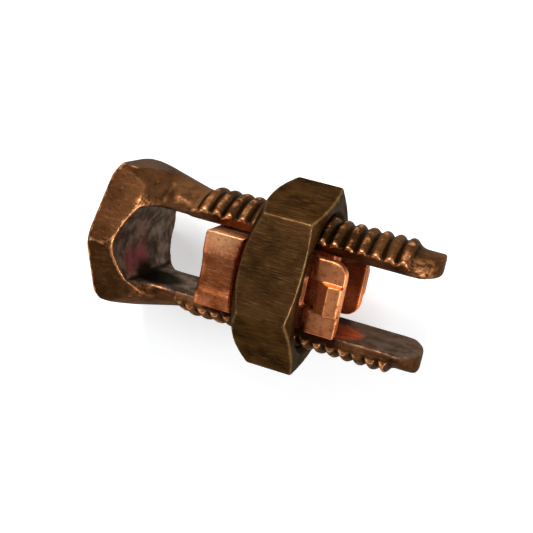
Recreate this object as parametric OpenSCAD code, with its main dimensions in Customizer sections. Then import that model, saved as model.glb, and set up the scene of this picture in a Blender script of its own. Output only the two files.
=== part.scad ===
// Split bolt connector: a forged bolt split down its length, a hex nut, and a pressure bar
// that the nut drives down the slot to clamp electrical conductors against the head.
// It lies on one flat of its nut, on the plane z = 0, with the bolt along X and its head at -X.
// Each piece is drawn in bolt axes: x runs from the head's end face to the leg tips,
// the legs lie at +Y and -Y, and the slot passes right through along Z.

/* [Bolt] */
// Length from the head's end face to the leg tips
bolt_len = 31.8; // [29.8:0.2:34.8]
// Length of each leg left plain at its tip
tip_plain = 2.5; // [1.8:0.1:3.5]
// Radius of the leg tips' rounded ends, seen along Y
tip_r = 5.5; // [4.5:0.1:7]
// Width of each leg across its two side flats
leg_side = 7.1; // [6:0.1:8]
// Width of the slot between the legs
slot_w = 7.3; // [6.4:0.1:7.8]

/* [Thread] */
// Outer diameter of the thread
thread_d = 12.7; // [12.4:0.1:13]
// Distance from one thread to the next
thread_pitch = 1.27; // [1.1:0.01:1.5]
// Height of the thread above its root
thread_height = 0.72; // [0.5:0.01:0.8]
// Width of the flat on top of the thread
thread_crest = 0.4; // [0.2:0.01:0.43]
// Angle between the two sides of the thread
thread_angle = 60; // [55:1:60]
// Distance from the head's end face to the first full thread
thread_start = 8.88; // [8.5:0.02:11]

/* [Head] */
// Distance between the head's slanted flats
head_af = 13; // [12.6:0.1:13.4]
// Distance between the head's two flats outside the legs
head_across = 13.6; // [13.2:0.1:14]
// Diameter over the head's corners
head_corner_d = 15; // [14.4:0.1:15.2]
// Length of the head before it tapers into the legs
head_len = 1.6; // [1.2:0.1:2.2]
// Length of the chamfer round the head's end face
head_chamfer = 0.5; // [0.3:0.1:0.8]
// Thickness of the head under the conductors' seat
seat_wall = 2.7; // [2.4:0.1:3.2]
// Radius of the conductors' seat
seat_r = 6.1; // [5.5:0.1:7]
// Distance from the end face to where the head's slanted flats end at the short shoulders
shoulder_start = 3.75; // [3.6:0.05:4.2]
// Distance from the end face to the foot of the short shoulders
shoulder_end = 5.35; // [5:0.05:5.8]
// Distance from the end face to where the slanted flats end at the long shoulders
long_start = 6; // [5.6:0.1:6.4]
// Distance from the end face to the foot of the long shoulders
long_end = 7.2; // [6.8:0.1:8]
// How far the slot's edge is trimmed back at the long shoulders
edge_trim = 0.4; // [0.2:0.05:0.6]
// Width of the leg's side flat above the slot at the foot of a short shoulder
flat_start_w = 0.4; // [0.2:0.05:0.6]
// Width of that flat where the thread starts
flat_end_w = 1.3; // [1:0.05:1.5]
// Half width of the head's outer flat where it draws in to the leg
loft_top = 2.2; // [1.8:0.1:2.8]

/* [Nut] */
// Metal left between the thread and the middle of each nut flat
nut_wall = 1.5875; // [1.4:0.0125:1.9]
// Thickness of the nut
nut_h = 5.8; // [5:0.1:6.2]
// Length of the chamfer over the corners at the nut's end by the bar
nut_chamfer = 1.05; // [0.8:0.05:1.3]
// Length of the chamfer over the corners at the nut's outer end
nut_chamfer_out = 0.45; // [0.3:0.05:0.8]
// Depth of the countersink at each end of the nut's bore
nut_countersink = 0.5; // [0.3:0.05:0.7]
// Gap all round between the nut's bore and the thread
nut_clear = 0.1; // [0.06:0.01:0.15]
// Distance from the head's end face to the nut
nut_x = 15.2; // [15:0.1:18]
// Turn of the slot from upright while the nut lies on a flat
slot_turn = 15; // [0:1:20]

/* [Pressure bar] */
// Gap on each side between the bar and the legs
bar_clear = 0.15; // [0.1:0.01:0.25]
// Length of the solid block that presses on the conductors
block_len = 3.8; // [3:0.1:4.5]
// Depth of the block through the slot
block_depth = 12; // [11:0.1:12.4]
// Radius of the shallow groove along the block's front and back
groove_r = 2.4; // [2:0.1:3]
// Depth of that groove
groove_depth = 0.45; // [0.2:0.05:0.6]
// Depth of the hollow in the block's shoulder, under the nut
shoulder_hollow = 0.5; // [0.2:0.05:0.8]
// Gap between the block's shoulder and the nut
shoulder_gap = 0.5; // [0.3:0.05:0.8]
// Thickness of each prong
prong_t = 1.15; // [0.9:0.05:1.4]
// Length of each prong beyond the nut
prong_out = 3.3; // [3:0.1:4]
// How far each prong is spread outwards beyond the nut
prong_spread = 0.65; // [0.4:0.05:0.8]
// Length of the slope where a prong spreads
spread_len = 0.5; // [0.3:0.05:0.7]
// Gap round the prongs inside the nut's thread
prong_clear = 0.1; // [0.05:0.01:0.15]
// Radius of the rounded corner on each prong
prong_corner = 1.4; // [1:0.1:1.8]
// Width of the lug pushed out of each prong
lug_w = 2.8; // [2.4:0.1:3.2]
// Distance from the nut to the foot of the lug
lug_gap = 0.9; // [0.8:0.05:1.1]
// Length of the lug's sloping front
lug_ramp = 1.15; // [0.9:0.05:1.3]
// Height of the lug's ridge above its prong
lug_rise = 0.85; // [0.6:0.05:1]
// Fall from the lug's ridge to its back end
lug_fall = 0.25; // [0.1:0.05:0.4]
// Length of the window in front of the lug
window_len = 1.35; // [1:0.05:1.6]

/* [Hidden] */

$fn = 96;
overlap = 1;                      // how far a cutting shape runs past what it cuts
over = 0.2;                       // how far a raised shape runs into what carries it
setback = 0.05;                   // keeps two surfaces from meeting along one line

thread_r = thread_d / 2;
root_r = thread_r - thread_height;
thread_end = bolt_len - tip_plain;
thread_foot = thread_crest + 2 * thread_height * tan(thread_angle / 2);
thread_lead = atan(thread_pitch / (PI * thread_d));
thread_count = floor((thread_end - thread_start - thread_foot) / thread_pitch);

head_r = head_corner_d / 2;
head_reach = head_corner_d + 2 * overlap;
shoulder_half = (head_af / 2 - slot_w / 4) / cos(30);
slope_foot = slot_w / 4 + leg_side / 2 * cos(30);
short_slope = [(head_af / 2 - slope_foot) / (shoulder_end - shoulder_start), cos(60), sin(60)];
long_slope = [shoulder_half - leg_side / 2, 0, long_start - long_end];
slab_end = shoulder_start - setback;
seat_half = sqrt(pow(seat_r, 2) - pow(seat_wall + seat_r - slab_end, 2));
edge_half = min(slot_w / 2, seat_half) - setback;
slot_edge = [slab_end, edge_half, -(head_af / 2 - edge_half / 2) / cos(30)];
trim_foot = [shoulder_end, slot_w / 2, -leg_side / 2];
trim_top = [long_start, slot_w / 2 + edge_trim, -shoulder_half];
trim_slope = cross(trim_top - slot_edge, trim_foot - slot_edge);
loft_foot = [shoulder_end, slot_w / 2 + flat_start_w, leg_side / 2];
loft_end = [thread_start - over, slot_w / 2 + flat_end_w, leg_side / 2];
loft_corner = [shoulder_start, head_across / 2, loft_top];
loft_slope = cross(loft_end - loft_foot, loft_corner - loft_foot);
seat_depth = seat_r - sqrt(pow(seat_r, 2) - pow(slot_w / 2, 2));
slot_reach = bolt_len + overlap;

nut_af = thread_d + 2 * nut_wall;
nut_corner_r = nut_af / 2 / cos(30);
bore_r = thread_r + nut_clear;
nut_minor_r = root_r + nut_clear;
nut_face_r = nut_af / 2 - nut_clear;

bar_w = slot_w - 2 * bar_clear;
block_end = nut_x - shoulder_gap;
hollow_r = (pow(bar_w / 2, 2) + pow(shoulder_hollow, 2)) / (2 * shoulder_hollow);
prong_reach = sqrt(pow(nut_minor_r - prong_clear, 2) - pow(bar_w / 2, 2));
prong_in = prong_reach - prong_t;
prong_x = nut_x + nut_h;
prong_end = prong_x + prong_out;
lug_x = prong_x + lug_gap;

// Lays bolt axes down on the row's floor, turned about the bolt by the given angle
module lay(turn) translate([-bolt_len / 2, 0, nut_af / 2]) rotate([turn, 0, 0]) children();

// Turns a shape drawn along Z so that it runs along the bolt
module along_bolt() rotate([0, 90, 0]) children();

// Turns an outline drawn in x and z into a bar of the given width along Y
module across(width) rotate([90, 0, 0]) translate([0, 0, -width / 2]) linear_extrude(width) children();

// Round outline of the forging: chamfered end, head, taper into the legs, plain tips
module round_outline() {
    along_bolt() rotate_extrude() polygon([
        [0, 0],
        [head_r - head_chamfer, 0],
        [head_r, head_chamfer],
        [head_r, head_len],
        [root_r, thread_start],
        [root_r, bolt_len],
        [0, bolt_len]
    ]);
}

// Six-sided outline of the head: one flat outside each leg, and an edge up front and behind
module six_sides() {
    slab = [bolt_len + 2 * overlap, head_af, head_reach];
    intersection() {
        translate([bolt_len / 2, 0, 0]) cube([slab.x, head_across, slab.z], center = true);
        translate([bolt_len / 2, 0, 0]) rotate([60, 0, 0]) cube(slab, center = true);
        translate([bolt_len / 2, 0, 0]) rotate([-60, 0, 0]) cube(slab, center = true);
    }
}

// All that lies below a plane through the point, which faces the way of the slope
module below(point, slope) {
    size = 4 * bolt_len;
    lean = atan2(norm([slope.x, slope.y]), slope.z);
    translate(point) rotate([0, lean, atan2(slope.y, slope.x)])
        translate([0, 0, -size / 2]) cube(size, center = true);
}

// A quarter of the space round the bolt, outside the +Y leg's slot face, up front or behind
module quarter(face) {
    translate([0, 0, face < 0 ? -head_reach : 0]) cube([slot_reach, head_reach, head_reach]);
}

// How the head draws in to the +Y leg: a short shoulder up front, a long one behind
module leg_root() {
    intersection() {
        quarter(1);
        below([shoulder_start, 0, head_af / 2 / sin(60)], short_slope);
    }
    intersection() {
        quarter(-1);
        below([long_start, 0, -shoulder_half], long_slope);
        below(slot_edge, trim_slope);
    }
    intersection() {
        translate([0, 0, -leg_side / 2]) cube([slot_reach, head_reach, leg_side]);
        below(loft_foot, loft_slope);
    }
}

// Side outline: the head, and the legs that grow out of it, each half a turn from the other
module side_outline() {
    translate([-overlap, -head_reach / 2, -head_reach / 2])
        cube([slab_end + overlap, head_reach, head_reach]);
    leg_root();
    rotate([180, 0, 0]) leg_root();
}

// Rounded ends of the leg tips, seen along Y
module tip_outline() {
    across(head_reach) {
        translate([-overlap, -head_reach / 2]) square([bolt_len - tip_r + overlap, head_reach]);
        translate([bolt_len - tip_r, 0]) circle(tip_r);
    }
}

// The slot, with a hollow seat for the conductors at the head
module slot() {
    translate([0, 0, -head_reach / 2]) linear_extrude(head_reach) {
        intersection() {
            translate([seat_wall + seat_r, 0]) circle(seat_r);
            translate([seat_wall, -slot_w / 2]) square([seat_r, slot_w]);
        }
        translate([seat_wall + seat_depth, -slot_w / 2]) square([slot_reach, slot_w]);
    }
}

// One turn of thread as it crosses a leg: a ridged ring, tipped by the thread's lead
module thread_ridge() {
    foot = thread_foot + 2 * over * tan(thread_angle / 2);
    along_bolt() rotate_extrude() polygon([
        [root_r - over, -foot / 2],
        [thread_r, -thread_crest / 2],
        [thread_r, thread_crest / 2],
        [root_r - over, foot / 2]
    ]);
}

// The thread on the leg at +Y (side = 1) or -Y (side = -1), half a pitch apart
module leg_thread(side) {
    first = thread_start + thread_foot / 2 + (side < 0 ? thread_pitch / 2 : 0);
    intersection() {
        for (turn = [0 : thread_count - 1])
            translate([first + turn * thread_pitch, 0, 0]) rotate([0, side * thread_lead, 0]) thread_ridge();
        translate([0, side * thread_r, 0]) cube([2 * bolt_len, 2 * root_r, leg_side], center = true);
    }
}

module split_bolt() {
    color("sienna") difference() {
        union() {
            intersection() {
                round_outline();
                six_sides();
                side_outline();
                tip_outline();
            }
            leg_thread(1);
            leg_thread(-1);
        }
        slot();
    }
}

module hex_nut() {
    sink_r = bore_r + nut_countersink;
    color("darkolivegreen") translate([nut_x, 0, 0]) difference() {
        intersection() {
            along_bolt() rotate([0, 0, 30]) cylinder(h = nut_h, r = nut_corner_r, $fn = 6);
            along_bolt() rotate_extrude() polygon([
                [0, 0],
                [nut_face_r, 0],
                [nut_corner_r + over, nut_chamfer],
                [nut_corner_r + over, nut_h - nut_chamfer_out],
                [nut_face_r, nut_h],
                [0, nut_h]
            ]);
        }
        translate([-overlap, 0, 0]) along_bolt() cylinder(h = nut_h + 2 * overlap, r = bore_r);
        along_bolt() cylinder(h = nut_countersink, r1 = sink_r, r2 = bore_r);
        translate([nut_h - nut_countersink, 0, 0]) along_bolt()
            cylinder(h = nut_countersink, r1 = bore_r, r2 = sink_r);
    }
}

// The block that presses on the conductors, grooved front and back, hollowed under the nut
module pressing_block() {
    difference() {
        translate([block_end - block_len, -bar_w / 2, -block_depth / 2])
            cube([block_len, bar_w, block_depth]);
        for (face = [-1, 1])
            translate([0, 0, face * (block_depth / 2 + groove_r - groove_depth)])
                along_bolt() cylinder(h = bolt_len, r = groove_r);
        translate([block_end - shoulder_hollow + hollow_r, 0, 0])
            cylinder(h = head_reach, r = hollow_r, center = true);
    }
}

// Side view of a prong: it clears the nut's thread, then spreads outwards beyond the nut
module prong_side() {
    foot = block_end - block_len / 2;
    spread = prong_x + spread_len;
    polygon([
        [foot, prong_in],
        [prong_x, prong_in],
        [spread, prong_in + prong_spread],
        [prong_end, prong_in + prong_spread],
        [prong_end, prong_reach + prong_spread],
        [spread, prong_reach + prong_spread],
        [prong_x, prong_reach],
        [foot, prong_reach]
    ]);
}

// Front view of a prong, with one corner rounded
module prong_front() {
    corner = [prong_end - prong_corner, bar_w / 2 - prong_corner];
    translate([0, -bar_w / 2]) square([corner.x, bar_w]);
    translate([0, -bar_w / 2]) square([prong_end, bar_w - prong_corner]);
    translate(corner) circle(prong_corner);
}

// Side view of the lug that is cut free on three sides and pushed out of the prong
module lug_side() {
    top = prong_reach + prong_spread;
    polygon([
        [lug_x, prong_in + prong_spread + over],
        [lug_x, top - over],
        [lug_x + lug_ramp, top + lug_rise],
        [prong_end, top + lug_rise - lug_fall],
        [prong_end, prong_in + prong_spread + over]
    ]);
}

module prong() {
    difference() {
        intersection() {
            across(bar_w) prong_side();
            linear_extrude(head_reach) prong_front();
        }
        translate([lug_x - window_len, -lug_w / 2, 0]) cube([window_len, lug_w, head_reach]);
    }
    across(lug_w) lug_side();
}

module pressure_bar() {
    color("peru") {
        pressing_block();
        prong();
        rotate([180, 0, 0]) prong();
    }
}

lay(slot_turn) split_bolt();
lay(0) hex_nut();
lay(slot_turn) pressure_bar();
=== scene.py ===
"""Split bolt connector: the looks of the bolt, its nut and its pressure bar.

Each piece is modelled in millimetres in bolt axes: x runs from the head's end face to the leg
tips, y across the slot, z through it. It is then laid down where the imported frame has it.
"""

from math import cos, pi, radians, sin, sqrt

import bpy
import numpy as np
from mathutils import Matrix, Vector


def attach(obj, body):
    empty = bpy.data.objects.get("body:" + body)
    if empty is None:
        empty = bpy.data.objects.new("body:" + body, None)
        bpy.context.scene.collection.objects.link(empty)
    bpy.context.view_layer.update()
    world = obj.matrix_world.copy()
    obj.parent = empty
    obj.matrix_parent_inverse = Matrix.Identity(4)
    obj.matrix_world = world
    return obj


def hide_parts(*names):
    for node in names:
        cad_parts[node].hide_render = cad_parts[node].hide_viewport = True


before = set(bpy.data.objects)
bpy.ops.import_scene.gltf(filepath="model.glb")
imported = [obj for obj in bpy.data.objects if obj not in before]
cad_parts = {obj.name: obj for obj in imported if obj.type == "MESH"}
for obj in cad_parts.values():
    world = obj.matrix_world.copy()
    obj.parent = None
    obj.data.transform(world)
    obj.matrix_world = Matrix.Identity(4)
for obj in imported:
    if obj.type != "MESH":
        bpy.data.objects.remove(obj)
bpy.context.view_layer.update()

MM = 0.001

# ---------------------------------------------------------------- sizes, in mm
# The bolt
BOLT_LEN = 31.8
LEG_SIDE = 7.1
SLOT_W = 7.3
SLOT_TURN = 15.0  # degrees that the slot is turned from upright
HEAD_AF = 13.0
HEAD_ACROSS = 13.6
HEAD_R = 7.5
HEAD_LEN = 1.6
HEAD_CHAMFER = 0.5
SEAT_WALL = 2.7
SEAT_R = 6.1
SHOULDER_START = 3.75
SHOULDER_END = 5.35
LONG_START = 6.0
LONG_END = 7.2
EDGE_TRIM = 0.4
FLAT_START_W = 0.4
FLAT_END_W = 1.3
LOFT_TOP = 2.2
TIP_PLAIN = 2.5
TIP_R = 5.5

# Its thread
THREAD_R = 6.35
THREAD_HEIGHT = 0.72
THREAD_PITCH = 1.27
THREAD_START = 8.88
FIRST_CREST = 9.4955
ROD_START = 7.98  # the threaded rods begin inside the neck
RISE_START = 8.08  # the thread rises out of the neck from here
RISE_END = 9.38
RUN_OUT = 0.3  # half the stretch over which it ends
RING_STEP = 0.1
FLAT_LEAN = radians(28)  # the flats beside the thread lean towards the slot

# The nut
NUT_AF = 15.875
NUT_H = 5.8
NUT_X = 15.2
NUT_CLEAR = 0.1
NUT_CHAMFER = 1.05
NUT_CHAMFER_OUT = 0.45
NUT_COUNTERSINK = 0.5

# The pressure bar
BAR_W = 7.0
BLOCK_X = 10.9
BLOCK_LEN = 3.8
BLOCK_DEPTH = 12.0
GROOVE_R = 4.0
GROOVE_DEPTH = 0.45
GROOVE_Y = -0.45
SHOULDER_HOLLOW = 0.5
PRONG_T = 1.15
PRONG_OUT = 3.3
PRONG_SPREAD = 0.65
PRONG_CLEAR = 0.1
PRONG_CORNER = 1.4
SPREAD_LEN = 0.5
LUG_W = 2.8
LUG_GAP = 0.9
LUG_RAMP = 1.15
LUG_RISE = 0.85
LUG_FALL = 0.25
LUG_SINK = 0.2
WINDOW_LEN = 1.35

# Worked out from those
ROOT_R = THREAD_R - THREAD_HEIGHT
NECK_END_R = ROOT_R + 0.05
THREAD_END = BOLT_LEN - TIP_PLAIN
LEG_HALF = LEG_SIDE / 2
SLOT_HALF = SLOT_W / 2
FACE_Y = cos(radians(60))
FACE_Z = sin(radians(60))
SEAT_X = SEAT_WALL + SEAT_R
SEAT_DEPTH = SEAT_R - sqrt(SEAT_R**2 - SLOT_HALF**2)
SHOULDER_HALF = (HEAD_AF / 2 - SLOT_HALF * FACE_Y) / FACE_Z
SETBACK = 0.05
SLAB_END = SHOULDER_START - SETBACK
EDGE_HALF = sqrt(SEAT_R**2 - (SEAT_X - SLAB_END) ** 2) - SETBACK
NUT_END = NUT_X + NUT_H
NUT_CORNER_R = NUT_AF / 2 / cos(radians(30))
BORE_R = THREAD_R + NUT_CLEAR
NUT_MINOR_R = ROOT_R + NUT_CLEAR
BLOCK_END = BLOCK_X + BLOCK_LEN
BAR_HALF = BAR_W / 2
PRONG_REACH = sqrt((NUT_MINOR_R - PRONG_CLEAR) ** 2 - BAR_HALF**2)
PRONG_IN = PRONG_REACH - PRONG_T
PRONG_END = NUT_END + PRONG_OUT
LUG_X = NUT_END + LUG_GAP

# Margins: overlap of joined parts, reach of a cutter past what it cuts, and well past everything
OVER = 0.4
CORNER_OVER = 0.2
PAST = 1.0
REACH = 40.0

# Size of the faces that each skin is made of
BOLT_GRAIN = 0.142
NUT_GRAIN = 0.12
BAR_GRAIN = 0.1


def lay_matrix(turn):
    """Bolt axes in mm to the row's frame in metres, turned about the bolt."""
    place = Matrix.Translation((-BOLT_LEN / 2, 0, NUT_AF / 2))
    return Matrix.Scale(MM, 4) @ place @ Matrix.Rotation(radians(turn), 4, "X")


# ---------------------------------------------------------------- modelling by hand
def clear():
    """Deselects everything, so that a new primitive is alone."""
    if bpy.context.mode != "OBJECT":
        bpy.ops.object.mode_set(mode="OBJECT")
    bpy.ops.object.select_all(action="DESELECT")


def pick(*pieces):
    """Leaves only these pieces selected, the first one active."""
    clear()
    for piece in pieces:
        piece.select_set(True)
    bpy.context.view_layer.objects.active = pieces[0]


def named(name):
    piece = bpy.context.object
    piece.name = name
    piece.data.name = name
    return piece


def settled(piece):
    """Puts the piece's place into its mesh."""
    pick(piece)
    bpy.ops.object.transform_apply(location=True, rotation=True, scale=True)
    return piece


def arc(middle, radius, start, end, steps):
    """Points (a, b) of an arc round a middle, between two angles in degrees."""
    points = []
    for k in range(steps + 1):
        angle = radians(start + (end - start) * k / steps)
        points.append((middle[0] + radius * cos(angle), middle[1] + radius * sin(angle)))
    return points


def block(name, low, high):
    """A cube primitive brought to these two corners."""
    clear()
    middle = [(a + b) / 2 for a, b in zip(low, high)]
    size = [b - a for a, b in zip(low, high)]
    bpy.ops.mesh.primitive_cube_add(size=1, location=middle)
    bpy.ops.object.mode_set(mode="EDIT")
    bpy.ops.transform.resize(value=size, center_override=middle)
    bpy.ops.object.mode_set(mode="OBJECT")
    return settled(named(name))


def turned(name, outline, sides=160):
    """Turns an outline of (x, radius) steps about the bolt's axis: each step is an extrusion."""
    clear()
    first_x, first_r = outline[0]
    bpy.ops.mesh.primitive_circle_add(
        vertices=sides, radius=first_r, fill_type="NGON",
        location=(first_x, 0, 0), rotation=(0, radians(90), 0),
    )
    piece = settled(named(name))
    bpy.ops.object.mode_set(mode="EDIT")
    bpy.ops.mesh.select_mode(type="FACE")
    bpy.ops.mesh.select_all(action="SELECT")
    for (x0, r0), (x1, r1) in zip(outline, outline[1:]):
        bpy.ops.mesh.extrude_region_move(TRANSFORM_OT_translate={"value": (x1 - x0, 0, 0)})
        bpy.ops.transform.resize(value=(1, r1 / r0, r1 / r0), center_override=(x1, 0, 0))
    bpy.ops.mesh.select_all(action="SELECT")
    bpy.ops.mesh.normals_make_consistent(inside=False)
    bpy.ops.object.mode_set(mode="OBJECT")
    return piece


def drawn(name, outline, depth):
    """Draws an outline of points one after another, fills it and extrudes it by depth."""
    clear()
    bpy.ops.mesh.primitive_plane_add(size=0.1, location=outline[0])
    piece = settled(named(name))
    bpy.ops.object.mode_set(mode="EDIT")
    bpy.ops.mesh.select_mode(type="VERT")
    bpy.ops.mesh.select_all(action="SELECT")
    bpy.ops.mesh.merge(type="CENTER")
    for here, there in zip(outline, outline[1:]):
        step = Vector(there) - Vector(here)
        bpy.ops.mesh.extrude_vertices_move(TRANSFORM_OT_translate={"value": step})
    bpy.ops.mesh.select_all(action="SELECT")
    bpy.ops.mesh.edge_face_add()
    bpy.ops.mesh.extrude_region_move(TRANSFORM_OT_translate={"value": depth})
    bpy.ops.mesh.select_all(action="SELECT")
    bpy.ops.mesh.normals_make_consistent(inside=False)
    bpy.ops.object.mode_set(mode="OBJECT")
    return piece


def sliced(piece, point, normal):
    """Takes off what lies beyond the plane, on its normal's side, and closes the cut."""
    pick(piece)
    bpy.ops.object.mode_set(mode="EDIT")
    bpy.ops.mesh.select_all(action="SELECT")
    bpy.ops.mesh.bisect(plane_co=point, plane_no=normal, use_fill=True, clear_outer=True)
    bpy.ops.object.mode_set(mode="OBJECT")


def applied(piece, kind, **settings):
    """Adds a modifier with these settings and applies it."""
    pick(piece)
    change = piece.modifiers.new(kind.lower(), kind)
    for key, value in settings.items():
        setattr(change, key, value)
    bpy.ops.object.modifier_apply(modifier=change.name)


def cut(piece, cutter, operation="DIFFERENCE", keep_cutter=False):
    """Cuts a piece with another one, which is then thrown away."""
    applied(piece, "BOOLEAN", operation=operation, solver="EXACT", object=cutter)
    if not keep_cutter:
        bpy.data.objects.remove(cutter)


def half_turned(piece, name):
    """A copy with its own mesh, given half a turn about the bolt."""
    pick(piece)
    bpy.ops.object.duplicate(linked=False)
    twin = named(name)
    bpy.ops.transform.rotate(value=pi, orient_axis="X", center_override=(0, 0, 0))
    return settled(twin)


def joined(*pieces):
    pick(*pieces)
    bpy.ops.object.join()
    return bpy.context.object


def points_of(piece):
    flat = np.empty(len(piece.data.vertices) * 3)
    piece.data.vertices.foreach_get("co", flat)
    return flat.reshape(-1, 3)


def set_points(piece, points):
    piece.data.vertices.foreach_set("co", points.ravel())
    piece.data.update()


def fade(x, start, end):
    """0 before start, 1 after end, smooth between."""
    t = np.clip((x - start) / (end - start), 0, 1)
    return t * t * (3 - 2 * t)


def band(x, low, high, soft):
    """1 between low and high, fading out over the soft width outside them."""
    return fade(x, low - soft, low) * (1 - fade(x, high, high + soft))


# ---------------------------------------------------------------- thread
def ridge(distance):
    """Height of a worn thread, from 0 to 1: a broad round crest between narrow roots."""
    share = np.clip(distance / (THREAD_PITCH / 2), 0, 1)
    return (1 - share**2.4) ** 0.8


def crest_distance(points):
    """Distance along x from the nearest crest of the helix."""
    turns = np.arctan2(points[:, 2], points[:, 1]) / (2 * pi)
    along = (points[:, 0] - FIRST_CREST) / THREAD_PITCH - turns
    return np.abs(along - np.round(along)) * THREAD_PITCH


def rod(name, radius, low, high, ring_step=RING_STEP, sides=200):
    """A bar cut into many rings along its length, ready to be threaded."""
    clear()
    bpy.ops.mesh.primitive_cylinder_add(
        vertices=sides, radius=radius, depth=high - low, end_fill_type="NGON",
        location=((low + high) / 2, 0, 0), rotation=(0, radians(90), 0),
    )
    piece = settled(named(name))
    bpy.ops.object.mode_set(mode="EDIT")
    bpy.ops.mesh.select_mode(type="EDGE")
    bpy.ops.mesh.select_all(action="DESELECT")
    bpy.ops.object.mode_set(mode="OBJECT")
    for edge in piece.data.edges:
        a, b = (piece.data.vertices[i].co.x for i in edge.vertices)
        edge.select = abs(a - b) > (high - low) / 2
    bpy.ops.object.mode_set(mode="EDIT")
    bpy.ops.mesh.subdivide(number_cuts=int((high - low) / ring_step))
    bpy.ops.object.mode_set(mode="OBJECT")
    return piece


def threaded(piece, base_r, strength=lambda x: 1):
    """Moves the rings' points out to a helical thread; strength gives where it fades out."""
    points = points_of(piece)
    x = points[:, 0]
    reach = np.hypot(points[:, 1], points[:, 2])
    wanted = base_r(x) + THREAD_HEIGHT * ridge(crest_distance(points)) * strength(x)
    on_skin = reach > 0.5 * ROOT_R
    points[:, 1:] *= np.where(on_skin, wanted / np.maximum(reach, 1e-6), 1.0)[:, None]
    set_points(piece, points)


# ---------------------------------------------------------------- finishing a mesh
def neighbours(piece):
    """The mesh's edges as pairs of points, and how many edges meet at each point."""
    flat = np.empty(len(piece.data.edges) * 2, dtype=np.int64)
    piece.data.edges.foreach_get("vertices", flat)
    pairs = flat.reshape(-1, 2)
    count = np.bincount(pairs.ravel(), minlength=len(piece.data.vertices)).astype(float)
    return pairs, np.maximum(count, 1)[:, None]


def relaxed(points, pairs, count, rounds=1, share=0.5):
    """Each point moves part of the way to the middle of its neighbours, a few times over."""
    for _ in range(rounds):
        total = np.zeros_like(points)
        for k in range(3):
            total[:, k] = np.bincount(pairs[:, 0], points[pairs[:, 1], k], len(points))
            total[:, k] += np.bincount(pairs[:, 1], points[pairs[:, 0], k], len(points))
        points = points + share * (total / count - points)
    return points


def forged(piece, grain):
    """Fuses the overlapping shapes into one skin of even faces and softens its edges."""
    applied(piece, "REMESH", mode="VOXEL", voxel_size=grain, adaptivity=0)
    pairs, count = neighbours(piece)
    points = points_of(piece)
    for share in (0.55, -0.48, 0.55, -0.48):  # in and out again, so that nothing shrinks
        points = relaxed(points, pairs, count, share=share)
    set_points(piece, relaxed(points, pairs, count, rounds=2))
    return piece


def softened(piece, low, high, rounds):
    """Rounds off what lies between two places along the bolt, as a die leaves a forging."""
    pairs, count = neighbours(piece)
    points = points_of(piece)
    x = points[:, 0]
    soft = 0.6  # mm over which the rounding fades out at either end
    share = fade(x, low - soft, low + 0.2) * (1 - fade(x, high - soft, high))
    for _ in range(rounds):
        points = points + share[:, None] * (relaxed(points, pairs, count, share=0.6) - points)
    set_points(piece, points)
    return piece


def marked(piece, name, share):
    """Stores a share for each point, for the finishes to read."""
    layer = piece.data.attributes.new(name, "FLOAT", "POINT")
    layer.data.foreach_set("value", share.astype(np.float32))


def wear_and_shade_marked(piece, share=lambda x: 1.0):
    """Marks how far each point stands out from the metal round it, for rubbed wear, or lies in a corner of
    it, for painted shade.
    """
    full = 0.06  # mm that count as a bare edge
    pairs, count = neighbours(piece)
    points = points_of(piece)
    normals = np.empty(len(points) * 3)
    piece.data.vertex_normals.foreach_get("vector", normals)
    smooth = relaxed(points, pairs, count, rounds=10)
    stand = np.einsum("ij,ij->i", points - smooth, normals.reshape(-1, 3)) / full
    marked(piece, "edge", np.clip(stand, -1, 1) * share(points[:, 0]))
    return piece


def dressed(piece, turn, finish, body, node):
    """Lays the piece down, gives it its finish and hands it to its body."""
    piece.data.transform(lay_matrix(turn))
    piece.data.materials.clear()
    piece.data.materials.append(finish)
    pick(piece)
    bpy.ops.object.shade_smooth()
    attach(piece, body)
    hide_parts(node)


# ---------------------------------------------------------------- the bolt
def neck_r(x):
    """Radius of the forging behind the head, from the head's edge to the thread's root."""
    along = (x - HEAD_LEN) / (THREAD_START - HEAD_LEN)
    return np.where(x < THREAD_START, HEAD_R + (ROOT_R - HEAD_R) * along, ROOT_R)


def neck_blank(name):
    """The head and the neck as turned, before any flat is put on."""
    return turned(name, [
        (0, HEAD_R - HEAD_CHAMFER),
        (HEAD_CHAMFER, HEAD_R),
        (HEAD_LEN, HEAD_R),
        (THREAD_START, NECK_END_R),
    ])


def hexed(piece):
    """The six flats of the head: one outside each leg, two meeting up front and behind."""
    for y in (1, -1):
        sliced(piece, (0, y * HEAD_ACROSS / 2, 0), (0, y, 0))
    for y in (-1, 1):
        for z in (-1, 1):
            facing = (0, y * FACE_Y, z * FACE_Z)
            sliced(piece, [HEAD_AF / 2 * s for s in facing], facing)
    return piece


def across_slope(point, second, third):
    """The normal of the plane through three points."""
    return (Vector(second) - Vector(point)).cross(Vector(third) - Vector(point))


def short_shoulder(name):
    """Up front, a short slope from the head's flat down to the leg."""
    front = hexed(neck_blank(name))
    sliced(front, (0, 0, 0), (0, 0, -1))
    foot = SLOT_HALF * FACE_Y + LEG_HALF * FACE_Z
    steep = (HEAD_AF / 2 - foot) / (SHOULDER_END - SHOULDER_START)
    sliced(front, (SHOULDER_START, 0, HEAD_AF / 2 / FACE_Z), (steep, FACE_Y, FACE_Z))
    return front


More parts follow.
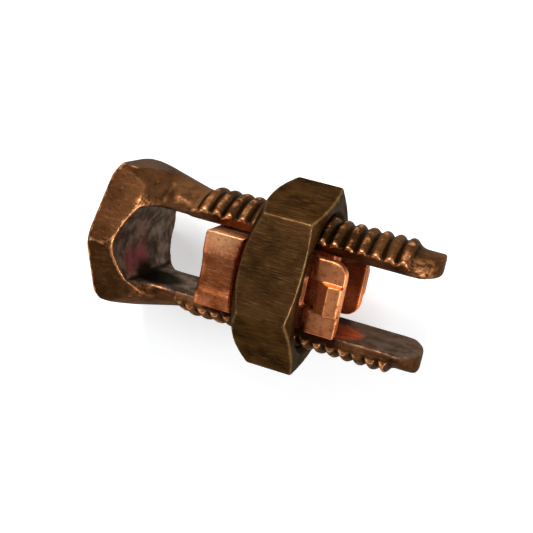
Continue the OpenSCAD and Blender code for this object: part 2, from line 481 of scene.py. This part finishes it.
def long_shoulder(name):
    """Behind, a longer slope, with its edge along the slot trimmed off."""
    back = hexed(neck_blank(name))
    sliced(back, (0, 0, 0), (0, 0, 1))
    drop = SHOULDER_HALF - LEG_HALF
    sliced(back, (LONG_START, 0, -SHOULDER_HALF), (drop, 0, LONG_START - LONG_END))
    slot_edge = (SLAB_END, EDGE_HALF, -(HEAD_AF / 2 - EDGE_HALF * FACE_Y) / FACE_Z)
    trim_foot = (SHOULDER_END, SLOT_HALF, -LEG_HALF)
    trim_top = (LONG_START, SLOT_HALF + EDGE_TRIM, -SHOULDER_HALF)
    sliced(back, slot_edge, across_slope(slot_edge, trim_top, trim_foot))
    return back


def leg_neck(name):
    """Between the shoulders and the thread, with a flat that widens towards the thread."""
    neck = neck_blank(name)
    for z in (1, -1):
        sliced(neck, (0, 0, z * LEG_HALF), (0, 0, z))
    foot = (SHOULDER_END, SLOT_HALF + FLAT_START_W, LEG_HALF)
    end = (THREAD_START - 0.2, SLOT_HALF + FLAT_END_W, LEG_HALF)
    corner = (SHOULDER_START, HEAD_ACROSS / 2, LOFT_TOP)
    sliced(neck, foot, across_slope(foot, end, corner))
    return neck


def leg_root(name, slot):
    """Where the +y leg grows out of the head."""
    parts = [short_shoulder(name), long_shoulder("back"), leg_neck("neck")]
    for part in parts:
        sliced(part, (SHOULDER_START - OVER, 0, 0), (-1, 0, 0))
        sliced(part, (0, SLOT_HALF - OVER, 0), (0, -1, 0))
        cut(part, slot, keep_cutter=True)
    return joined(*parts)


def slot_cutter(name):
    """The slot with its hollow seat at the head."""
    half_angle = np.degrees(np.arcsin(SLOT_HALF / SEAT_R))
    seat = arc((SEAT_X, 0), SEAT_R, 180 - half_angle, 180 + half_angle, 24)
    far_x = SEAT_WALL + SEAT_DEPTH + REACH
    outline = seat + [(far_x, -SLOT_HALF), (far_x, SLOT_HALF)]
    return drawn(name, [(x, y, -REACH / 2) for x, y in outline], (0, 0, REACH))


def tip_outline(name):
    """All that lies within the legs' rounded ends, seen along y."""
    outline = arc((BOLT_LEN - TIP_R, 0), TIP_R, 90, -90, 32) + [(0, -TIP_R), (0, TIP_R)]
    return drawn(name, [(x, -REACH / 2, z) for x, z in outline], (0, REACH, 0))


def leg_thread(x):
    """Where the legs carry their thread, from 0 to 1."""
    return fade(x, RISE_START, RISE_END) * fade(-x, -THREAD_END - RUN_OUT, -THREAD_END + RUN_OUT)


def threaded_leg(name, side):
    """One leg at side * y: its flats lean towards the slot, so the thread ends close to its edge."""
    leg = rod(name, ROOT_R, ROD_START, BOLT_LEN)
    threaded(leg, neck_r, leg_thread)
    sliced(leg, (0, side * SLOT_HALF, 0), (0, -side, 0))
    for z in (-1, 1):
        lean = (0, -side * sin(FLAT_LEAN), z * cos(FLAT_LEAN))
        sliced(leg, (0, side * SLOT_HALF, z * LEG_HALF), lean)
    cut(leg, tip_outline("tips"), "INTERSECT")
    return leg


def edge_share(x):
    """How strongly the bolt's edges show: most at the head, least at the plain tips."""
    return 1.25 - 0.25 * fade(x, SHOULDER_START, LONG_START) - 0.6 * fade(x, THREAD_END, THREAD_END + 1)


def split_bolt():
    head = hexed(neck_blank("split_bolt"))
    sliced(head, (SLAB_END, 0, 0), (1, 0, 0))
    slot = slot_cutter("slot")
    upper = leg_root("upper_root", slot)
    lower = half_turned(upper, "lower_root")
    cut(head, slot)
    legs = [threaded_leg("upper_leg", 1), threaded_leg("lower_leg", -1)]

    bolt = forged(joined(head, upper, lower, *legs), BOLT_GRAIN)
    softened(bolt, 3.6, 8.58, 3)  # the shoulders, a little
    softened(bolt, 4.6, 8.48, 22)  # the slopes from them to the thread, more
    softened(bolt, THREAD_END + 0.6, REACH, 5)  # the tips
    wear_and_shade_marked(bolt, edge_share)

    x, y = points_of(bolt).T[:2]
    seat_x = SEAT_X - np.sqrt(SEAT_R**2 - np.minimum(abs(y), SLOT_HALF) ** 2)
    between_walls = band(abs(y), 0, SLOT_HALF + 0.04, 0.25)
    marked(bolt, "inside", between_walls * band(x - seat_x, -0.1, REACH, 0.2))
    return bolt


# ---------------------------------------------------------------- the nut
def hex_nut():
    nut = turned("hex_nut", [(NUT_X, NUT_CORNER_R), (NUT_END, NUT_CORNER_R)], sides=6)
    face_r = NUT_AF / 2 - NUT_CLEAR
    chamfered = turned("chamfers", [
        (NUT_X, face_r),
        (NUT_X + NUT_CHAMFER, NUT_CORNER_R + CORNER_OVER),
        (NUT_END - NUT_CHAMFER_OUT, NUT_CORNER_R + CORNER_OVER),
        (NUT_END, face_r),
    ])
    cut(nut, chamfered, "INTERSECT")
    tap = rod("tap", NUT_MINOR_R, NUT_X - PAST, NUT_END + PAST)
    threaded(tap, lambda x: NUT_MINOR_R)
    cut(nut, tap)
    mouth_r = BORE_R + NUT_COUNTERSINK
    inner = 0.6  # the sink's point lies this far inside the bore
    for x, way in ((NUT_X, 1), (NUT_END, -1)):
        cut(nut, turned("sink", [
            (x - way * OVER, mouth_r + OVER),
            (x + way * (NUT_COUNTERSINK + inner), BORE_R - inner),
        ]))
    return wear_and_shade_marked(forged(nut, NUT_GRAIN))


# ---------------------------------------------------------------- the pressure bar
def prong(name):
    """The prong at +z: it clears the thread, spreads beyond the nut and carries its lug."""
    foot_x = BLOCK_X + BLOCK_LEN / 2
    spread_x = NUT_END + SPREAD_LEN
    low, high = PRONG_IN, PRONG_REACH
    strip = drawn(name, [(x, -BAR_HALF, z) for x, z in (
        (foot_x, low),
        (NUT_END, low),
        (spread_x, low + PRONG_SPREAD),
        (PRONG_END, low + PRONG_SPREAD),
        (PRONG_END, high + PRONG_SPREAD),
        (spread_x, high + PRONG_SPREAD),
        (NUT_END, high),
        (foot_x, high),
    )], (0, BAR_W, 0))

    corner_x = PRONG_END - PRONG_CORNER
    corner_y = BAR_HALF - PRONG_CORNER
    corner = arc((corner_x, corner_y), PRONG_CORNER, 90, 0, 8)
    past_x = PRONG_END + PAST
    past_y = BAR_HALF + PAST
    corner += [(past_x, corner_y), (past_x, past_y), (corner_x, past_y)]
    cut(strip, drawn("corner", [(x, y, -PAST) for x, y in corner], (0, 0, REACH / 2)))
    cut(strip, block("window", (LUG_X - WINDOW_LEN, -LUG_W / 2, 0), (LUG_X, LUG_W / 2, REACH / 2)))

    base = PRONG_IN + PRONG_SPREAD + LUG_SINK
    top = PRONG_REACH + PRONG_SPREAD
    lug = drawn("lug", [(x, -LUG_W / 2, z) for x, z in (
        (LUG_X, base),
        (LUG_X, top - LUG_SINK),
        (LUG_X + LUG_RAMP, top + LUG_RISE),
        (PRONG_END, top + LUG_RISE - LUG_FALL),
        (PRONG_END, base),
    )], (0, LUG_W, 0))
    return joined(strip, lug)


def grooved(bar):
    """A shallow groove along the block's front and one along its back."""
    for side in (-1, 1):
        groove = rod("groove", GROOVE_R, BLOCK_X - 2 * PAST, BLOCK_END + 2 * PAST, ring_step=4, sides=96)
        shift = side * (BLOCK_DEPTH / 2 + GROOVE_R - GROOVE_DEPTH)
        set_points(groove, points_of(groove) + np.array((0, side * GROOVE_Y, shift)))
        cut(bar, groove)


def hollowed(bar):
    """A shallow hollow across the block's end under the nut."""
    hollow_r = (BAR_HALF**2 + SHOULDER_HOLLOW**2) / (2 * SHOULDER_HOLLOW)
    clear()
    bpy.ops.mesh.primitive_cylinder_add(
        vertices=256, radius=hollow_r, depth=REACH,
        location=(BLOCK_END - SHOULDER_HOLLOW + hollow_r, 0, 0),
    )
    cut(bar, settled(named("hollow")))


def pressure_bar():
    corner = (BLOCK_END, BAR_HALF, BLOCK_DEPTH / 2)
    bar = block("pressure_bar", (BLOCK_X, -corner[1], -corner[2]), corner)
    grooved(bar)
    hollowed(bar)
    near = prong("near_prong")
    far = half_turned(near, "far_prong")
    bar = forged(joined(bar, near, far), BAR_GRAIN)
    softened(bar, BLOCK_X, REACH, 4)
    softened(bar, BLOCK_X - PAST, BLOCK_X + 0.9, 14)  # the edges that face the head
    return wear_and_shade_marked(bar)


# ---------------------------------------------------------------- finishes
class Value:
    """A socket that takes part in plain arithmetic."""

    def __init__(self, finish, socket):
        self.finish = finish
        self.socket = socket

    def __add__(self, other):
        return self.finish.maths("ADD", self, other)

    def __radd__(self, other):
        return self.finish.maths("ADD", other, self)

    def __sub__(self, other):
        return self.finish.maths("SUBTRACT", self, other)

    def __rsub__(self, other):
        return self.finish.maths("SUBTRACT", other, self)

    def __mul__(self, other):
        return self.finish.maths("MULTIPLY", self, other)

    def __rmul__(self, other):
        return self.finish.maths("MULTIPLY", other, self)


class Finish:
    """One procedural finish, built node by node, its colours laid one over another."""

    def __init__(self, name):
        self.material = bpy.data.materials.new(name)
        self.material.use_nodes = True
        self.tree = self.material.node_tree
        self.shader = self.tree.nodes["Principled BSDF"]
        self.place = self.add("ShaderNodeTexCoord", {}, {}, "Object")
        self.colour = None

    def add(self, kind, settings, inputs, output=0):
        node = self.tree.nodes.new(kind)
        for key, value in settings.items():
            setattr(node, key, value)
        for key, value in inputs.items():
            self.plug(node.inputs[key], value)
        return Value(self, node.outputs[output])

    def plug(self, socket, value):
        if isinstance(value, Value):
            self.tree.links.new(value.socket, socket)
        else:
            socket.default_value = value

    def surface(self, **values):
        for key, value in values.items():
            self.plug(self.shader.inputs[key.replace("_", " ")], value)

    def maths(self, operation, a, b):
        return self.add("ShaderNodeMath", {"operation": operation}, {0: a, 1: b})

    def attribute(self, name):
        return self.add("ShaderNodeAttribute", {"attribute_name": name}, {}, "Fac")

    def noise(self, size, detail=4.0, rough=0.55, stretch=1, turn=0):
        """Noise whose patches are about size millimetres across, drawn out along x by stretch."""
        scale = [1 / (size * MM * s) for s in (stretch, 1, 1)]
        spot = self.add("ShaderNodeMapping", {}, {
            "Vector": self.place, "Scale": scale, "Rotation": (0, 0, turn),
        })
        return self.add("ShaderNodeTexNoise", {}, {
            "Vector": spot, "Scale": 1.0, "Detail": detail, "Roughness": rough,
        })

    def ramp(self, value, low, high):
        """0 below low, 1 above high, smooth between."""
        return self.add("ShaderNodeMapRange", {"interpolation_type": "SMOOTHSTEP"}, {
            "Value": value, "From Min": low, "From Max": high,
        })

    def spot(self, place, inner, outer):
        """1 within inner millimetres of a place given in bolt axes, 0 beyond outer."""
        point = lay_matrix(SLOT_TURN) @ Vector(place)
        gap = self.add("ShaderNodeVectorMath", {"operation": "DISTANCE"}, {0: self.place, 1: point}, "Value")
        return 1 - self.ramp(gap, inner * MM, outer * MM)

    def mix(self, amount, under, over):
        """One colour laid over another."""
        inputs = {0: amount, 6: under, 7: over}
        return self.add("ShaderNodeMix", {"data_type": "RGBA"}, inputs, 2)

    def paint(self, colour, amount):
        """Lays a colour over what is there already."""
        self.colour = self.mix(amount, self.colour, colour)

    def relief(self, height, depth):
        """Bump of a depth in millimetres."""
        bump = self.add("ShaderNodeBump", {}, {"Height": height, "Distance": depth * MM, "Strength": 1.0})
        self.surface(Normal=bump)


def rgb(red, green, blue):
    """A colour given as 0 to 255 screen values, made linear."""
    return tuple([(c / 255) ** 2.2 for c in (red, green, blue)] + [1.0])


def bolt_finish():
    """Brown forged bronze, greyed inside the slot, with bright copper where it has rubbed, painted shade and
    highlights, and a painted reflection of the copper bar.
    """
    f = Finish("bolt_bronze")
    edge = f.attribute("edge")
    inside = f.attribute("inside")
    clouds = f.noise(3.0, 5)
    patches = f.noise(1.3, 5, 0.6)
    fine = f.noise(0.28, 4, 0.6)
    streaks = f.noise(0.32, 4, 0.65, stretch=3, turn=0.5)

    # brown skin, darker at the head, with painted shade under the legs and a painted highlight on the neck
    f.colour = f.mix(f.ramp(clouds, 0.35, 0.65), rgb(62, 40, 25), rgb(94, 62, 40))
    f.paint(rgb(48, 26, 12), f.spot((0, 0, 0), 5, 9) * 0.6)
    # painted highlight on the slope from the upper shoulder to its thread
    f.paint(rgb(132, 90, 58), f.spot((7.4, 4.6, 2.6), 1.5, 4) * 0.5)
    # painted shade on the lower leg's outer side and on the upper leg's leaning flat
    f.paint(rgb(40, 25, 15), f.spot((25, -6, 2), 5, 9) * 0.45 + f.spot((22, 4, 3.8), 2, 4.5) * 0.4)
    f.paint(rgb(128, 84, 54), f.ramp(streaks, 0.5, 0.72) * 0.4)
    f.paint(rgb(48, 30, 18), f.ramp(patches, 0.52, 0.68) * 0.5)
    f.paint(rgb(36, 22, 14), f.ramp(fine, 0.55, 0.7) * 0.45)

    # greyer inside the slot, heaviest round the seat
    seat = f.spot((5, 0, 0), 5, 8) * inside
    grey = f.mix(f.ramp(patches, 0.4, 0.6), rgb(84, 66, 56), rgb(134, 116, 103))
    f.paint(grey, inside * 0.35 + seat * 0.5)

    # marks in the seat: a purple stain and a coppery patch, then near-black painted shade deep in the slot
    # by the seat and at the seat's far bottom
    bruise = f.spot((3.1, -2.1, 3.4), 0.6, 2.1) + f.spot((3.1, -1.9, 0.8), 0.6, 2.1)
    bruise = bruise * inside * f.ramp(patches, 0.34, 0.54)
    f.paint(rgb(132, 58, 66), bruise * 0.75)
    glow = f.spot((2.8, 0.6, 1.2), 0.4, 1.8) * inside * f.ramp(fine, 0.42, 0.6)
    f.paint(rgb(150, 92, 60), glow * 0.5)
    # painted shade: near black deep in the slot by the seat and at the seat's far bottom
    painted_slot_shade = f.spot((5.2, -3.65, 1), 1.8, 3) * inside * f.ramp(patches, 0.2, 0.42)
    painted_seat_shade = f.spot((3, -1.5, -3), 1.6, 3.4) * inside * f.ramp(clouds, 0.42, 0.56)
    f.paint(rgb(18, 12, 10), painted_slot_shade * 0.95 + painted_seat_shade * 0.6)

    # painted reflection of the copper bar on the lower leg's inner wall
    painted_bar_reflection = f.spot((23.9, -3.65, 1.2), 1.9, 2.7) * inside
    copper = f.mix(f.ramp(streaks, 0.35, 0.7), rgb(150, 64, 32), rgb(214, 106, 56))
    f.paint(copper, painted_bar_reflection * 0.85)

    # painted shade in corners and thread roots, and metal rubbed bright on the edges
    # painted shade in the corners and the thread's roots
    f.paint(rgb(26, 17, 11), f.ramp(0 - edge, 0.03, 0.5) * 0.9)
    rubbed = f.ramp(edge * 0.6 + patches * 1.5 + fine * 0.4, 1.25, 1.65)
    bright = f.spot((30.4, 4.4, 3.4), 0.5, 2) * f.ramp(streaks, 0.42, 0.6)
    bright = bright + f.spot((4.2, 3.9, 4.9), 0.3, 1.3) * f.ramp(fine, 0.4, 0.6)
    bright = bright + f.spot((5.2, -3.8, 4.6), 0.3, 1.5) * f.ramp(fine, 0.38, 0.6)
    rubbed = rubbed + bright * 0.6 * (1 - inside)
    f.paint(rgb(214, 142, 92), rubbed * 0.85)

    rough = 0.5 - rubbed * 0.18 + f.ramp(clouds, 0.3, 0.7) * 0.08
    f.surface(Base_Color=f.colour, Metallic=1.0, Roughness=rough, Specular_Tint=rgb(190, 190, 185))
    f.relief(fine * 0.5 + streaks * 0.3 + patches * 0.6, 0.05)
    return f.material


def nut_finish():
    """Dark olive-brown bronze, brushed along the bolt, with paler rubbed corners and painted shade in its
    hollows and thread roots.
    """
    f = Finish("nut_bronze")
    edge = f.attribute("edge")
    clouds = f.noise(2.4, 5)
    patches = f.noise(0.9, 4, 0.6)
    brushed = f.noise(0.15, 4, 0.6, stretch=8, turn=0.1)

    f.colour = f.mix(f.ramp(clouds, 0.3, 0.7), rgb(58, 40, 24), rgb(84, 58, 35))
    f.paint(rgb(120, 88, 54), f.ramp(brushed, 0.52, 0.72) * 0.55)
    f.paint(rgb(36, 25, 15), f.ramp(0 - brushed, -0.42, -0.28) * 0.6)
    # painted shade in the hollows and the thread's roots
    f.paint(rgb(24, 17, 11), f.ramp(0 - edge, 0.12, 0.7) * 0.9)
    worn = f.ramp(edge * 0.8 + patches, 0.65, 1.25)
    f.paint(rgb(132, 102, 66), worn * 0.7)

    rough = 0.5 - worn * 0.14
    f.surface(Base_Color=f.colour, Metallic=1.0, Roughness=rough, Specular_Tint=rgb(150, 166, 172))
    f.relief(brushed + patches * 0.4, 0.03)
    return f.material


def bar_finish():
    """Bright orange copper, rolled along the bolt, with painted highlights on its lit faces and painted
    shade in its corners, groove and window.
    """
    f = Finish("bar_copper")
    edge = f.attribute("edge")
    clouds = f.noise(2.2, 5)
    fine = f.noise(0.28, 4)
    rolled = f.noise(0.14, 3, 0.6, stretch=10)
    dents = f.noise(1.0, 5, 0.65)
    highlight_grain = f.noise(0.35, 5, 0.7)

    f.colour = f.mix(f.ramp(clouds, 0.35, 0.7), rgb(170, 90, 50), rgb(212, 128, 84))
    # painted highlight on the near prong
    f.paint(rgb(250, 158, 104), f.spot((22.8, 0.8, 6.4), 3, 5) * 0.8)
    f.paint(rgb(122, 62, 34), f.ramp(dents, 0.46, 0.66) * 0.55)
    for place, inner, outer, amount, colour in (
        ((23, -1.5, -5), 2.5, 4.5, 0.8, rgb(250, 140, 80)),  # far prong, painted highlight low down
        ((12.4, -0.6, 5.6), 1.4, 3.0, 0.75, rgb(124, 68, 38)),  # painted shade in the block's front groove
        ((12.6, 3.5, 5.2), 0.9, 2.4, 0.7, rgb(240, 176, 126)),  # painted highlight on its top edge
        ((24, 2.4, -5), 2.2, 5.0, 0.85, rgb(100, 50, 27)),  # far prong, painted shade higher up
        ((22.5, 0, 5.6), 1.0, 1.7, 0.9, rgb(255, 160, 100)),  # painted highlight on the lug's ramp
        ((21, 0, 4.6), 0.8, 1.3, 0.8, rgb(84, 38, 20)),  # painted shade in the window under it
    ):
        f.paint(colour, f.spot(place, inner, outer) * amount)
    # painted sparkle of highlights along the block's top edge
    f.paint(rgb(250, 190, 145), f.ramp(highlight_grain, 0.5, 0.7) * f.spot((12.6, 3.2, 5), 1.5, 3.4) * 0.6)
    f.paint(rgb(236, 164, 118), f.ramp(rolled, 0.5, 0.7) * 0.35)
    f.paint(rgb(108, 52, 28), f.ramp(fine, 0.54, 0.7) * 0.55)
    # painted shade in the corners and hollows
    f.paint(rgb(84, 36, 18), f.ramp(0 - edge, 0.15, 0.8) * 0.8)
    worn = f.ramp(edge * 0.7 + clouds + fine * 0.3, 1.05, 1.5)
    f.paint(rgb(248, 190, 144), worn * 0.45)

    rough = 0.38 + f.ramp(clouds, 0.4, 0.7) * 0.1
    f.surface(Base_Color=f.colour, Metallic=1.0, Roughness=rough, Specular_Tint=rgb(235, 215, 195))
    f.relief(rolled * 0.6 + fine * 0.6, 0.03)
    return f.material


# ---------------------------------------------------------------- pieces in place
dressed(split_bolt(), SLOT_TURN, bolt_finish(), "bolt", "split_bolt")
dressed(hex_nut(), 0, nut_finish(), "nut", "hex_nut")
dressed(pressure_bar(), SLOT_TURN, bar_finish(), "bar", "pressure_bar")


# ---------------------------------------------------------------- floor, light and camera
def studio_floor():
    """A pale floor that glows to the eye and in mirrors, but lights nothing."""
    clear()
    bpy.ops.mesh.primitive_plane_add(size=3.0, location=(0, 0, 0))
    floor = named("studio_floor")
    f = Finish("pale_floor")
    seen, mirrored, through = (
        f.add("ShaderNodeLightPath", {}, {}, f"Is {ray} Ray") for ray in ("Camera", "Glossy", "Transmission")
    )
    glow = f.mix((seen + mirrored + through) * 0.5, (0, 0, 0, 1), (1, 1, 1, 1))
    f.surface(Base_Color=(0.8, 0.8, 0.8, 1), Roughness=0.9, Emission_Color=glow, Emission_Strength=1.0)
    floor.data.materials.append(f.material)


def room_air():
    """Faint cool light from all round."""
    world = bpy.data.worlds.new("studio_air")
    bpy.context.scene.world = world
    world.use_nodes = True
    air = world.node_tree.nodes["Background"]
    air.inputs["Color"].default_value = (0.9, 0.95, 1.0, 1)
    air.inputs["Strength"].default_value = 0.28


def placed(name, data):
    """An object that holds this light or camera."""
    holder = bpy.data.objects.new(name, data)
    bpy.context.scene.collection.objects.link(holder)
    return holder


def lamp(name, place, size, power):
    """A square soft light that faces the part's middle."""
    light = bpy.data.lights.new(name, "AREA")
    light.shape = "SQUARE"
    light.size = size
    light.energy = power
    holder = placed(name, light)
    holder.location = place
    facing = Vector((0, 0, 0.008)) - Vector(place)
    holder.rotation_euler = facing.to_track_quat("-Z", "Y").to_euler()


def camera(place, turn, lens):
    """A camera at a place in metres, turned by angles in degrees."""
    view = bpy.data.cameras.new("camera")
    view.sensor_width = 36.0
    view.lens = lens
    view.clip_start = 0.005
    view.clip_end = 10.0
    holder = placed("camera", view)
    holder.location = place
    holder.rotation_euler = [radians(angle) for angle in turn]
    bpy.context.scene.camera = holder


studio_floor()
room_air()
lamp("key_light", (-0.08, 0.30, 0.34), 0.22, 2.0)
lamp("fill_light", (0.36, -0.05, 0.22), 0.20, 1.1)
lamp("back_light", (-0.30, -0.22, 0.26), 0.20, 0.4)
camera((0.02567, -0.00013, 0.10190), (4.477, 14.879, 16.466), 69.27)
bpy.context.scene.view_settings.view_transform = "Standard"

bpy.context.view_layer.update()
